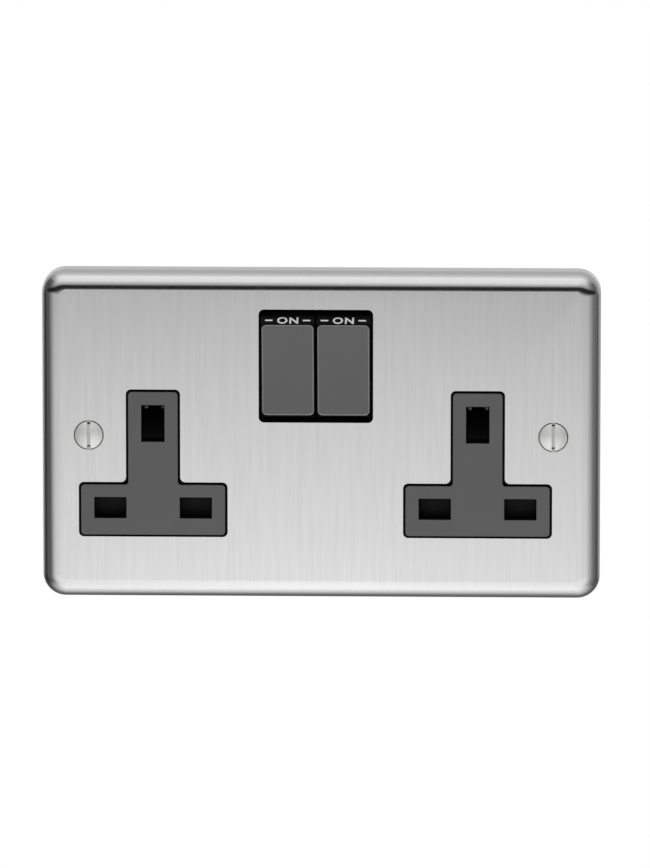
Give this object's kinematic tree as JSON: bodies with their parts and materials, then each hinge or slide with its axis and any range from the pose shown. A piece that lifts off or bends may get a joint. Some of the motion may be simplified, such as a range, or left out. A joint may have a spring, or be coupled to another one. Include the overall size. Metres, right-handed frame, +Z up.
{
  "type": "twin wall socket",
  "caption": "Flush metal wall plate with two shuttered rectangular-pin sockets, each with its own rocker switch above, and screw terminals behind.",
  "frame": {"origin": "on the wall plane, midway between the two fixing screws", "axes": "+X along the plate's length, to the right seen from the front; +Z up; +Y into the wall, so the front faces -Y"},
  "size_m": [0.145, 0.0318, 0.086],
  "materials": {
    "plate_steel": "vertical satin brushing",
    "black_moulding": "moulded black",
    "grey_insert": "moulded grey, satin",
    "grey_rocker": "moulded grey, satin",
    "white_base": "moulded off-white",
    "shutter_white": "moulded dark",
    "nylon": "moulded natural",
    "nickel_screw": "nickel plated",
    "zinc_steel": "zinc plated",
    "spring_steel": "bright drawn wire",
    "plated_screw": "plated",
    "brass_strip": "stamped and bent",
    "brass_block": "extruded and drilled",
    "contact_copper": "stamped, with a contact button"
  },
  "bodies": {
    "housing": {"front_plate": "plate_steel", "front_moulding": "black_moulding", "left_socket_insert": "grey_insert", "right_socket_insert": "grey_insert", "rear_base": "white_base", "left_fixing_screw": "nickel_screw", "right_fixing_screw": "nickel_screw", "left_live_contact": "brass_strip", "right_live_contact": "brass_strip", "live_busbar": "brass_strip", "neutral_busbar": "brass_strip", "earth_busbar": "brass_strip", "plate_earth_spring": "brass_strip", "neutral_terminal": "brass_block", "neutral_terminal_screw": "plated_screw", "earth_terminal_left": "brass_block", "earth_terminal_left_screw": "plated_screw", "earth_terminal_right": "brass_block", "earth_terminal_right_screw": "plated_screw", "live_terminal": "brass_block", "live_terminal_screw": "plated_screw", "base_screws": "zinc_steel", "push_nuts": "zinc_steel", "left_shutter_spring": "spring_steel", "right_shutter_spring": "spring_steel"},
    "left_rocker": {"left_rocker_dolly": "black_moulding", "left_rocker_cap": "grey_rocker", "left_plunger_spring": "spring_steel"},
    "left_plunger": {"left_switch_plunger": "nylon"},
    "left_contact": {"left_moving_contact": "contact_copper"},
    "left_shutter": {"left_shutter": "shutter_white"},
    "right_rocker": {"right_rocker_dolly": "black_moulding", "right_rocker_cap": "grey_rocker", "right_plunger_spring": "spring_steel"},
    "right_plunger": {"right_switch_plunger": "nylon"},
    "right_contact": {"right_moving_contact": "contact_copper"},
    "right_shutter": {"right_shutter": "shutter_white"}
  },
  "joints": [
    {"name": "left_rocker_tilt", "type": "hinge", "parent": "housing", "child": "left_rocker", "pos_m": [-0.0085, -0.0035, 0.0188], "axis": [1, 0, 0], "range_deg": [-16, 0]},
    {"name": "left_plunger_slide", "type": "slide", "parent": "left_rocker", "child": "left_plunger", "axis": [0, 0.9903, 0.1392], "range_m": [-0.0008, 0], "stiffness_N_per_m": 300, "springref_m": 0.002, "deforming": ["left_plunger_spring"]},
    {"name": "left_contact_tilt", "type": "hinge", "parent": "housing", "child": "left_contact", "pos_m": [-0.0085, 0.0061, 0.0188], "axis": [1, 0, 0], "range_deg": [0, 12]},
    {"name": "left_shutter_slide", "type": "slide", "parent": "housing", "child": "left_shutter", "axis": [0, 0, -1], "range_m": [0, 0.0062], "stiffness_N_per_m": 40, "springref_m": -0.004, "deforming": ["left_shutter_spring"]},
    {"name": "right_rocker_tilt", "type": "hinge", "parent": "housing", "child": "right_rocker", "pos_m": [0.0059, -0.0035, 0.0188], "axis": [1, 0, 0], "range_deg": [-16, 0]},
    {"name": "right_plunger_slide", "type": "slide", "parent": "right_rocker", "child": "right_plunger", "axis": [0, 0.9903, 0.1392], "range_m": [-0.0008, 0], "stiffness_N_per_m": 300, "springref_m": 0.002, "deforming": ["right_plunger_spring"]},
    {"name": "right_contact_tilt", "type": "hinge", "parent": "housing", "child": "right_contact", "pos_m": [0.0059, 0.0061, 0.0188], "axis": [1, 0, 0], "range_deg": [0, 12]},
    {"name": "right_shutter_slide", "type": "slide", "parent": "housing", "child": "right_shutter", "axis": [0, 0, -1], "range_m": [0, 0.0062], "stiffness_N_per_m": 40, "springref_m": -0.004, "deforming": ["right_shutter_spring"]}
  ],
  "couplings": [
    {"joint": "left_contact_tilt", "follows": "left_rocker_tilt", "ratio": -0.75},
    {"joint": "right_contact_tilt", "follows": "right_rocker_tilt", "ratio": -0.75}
  ]
}
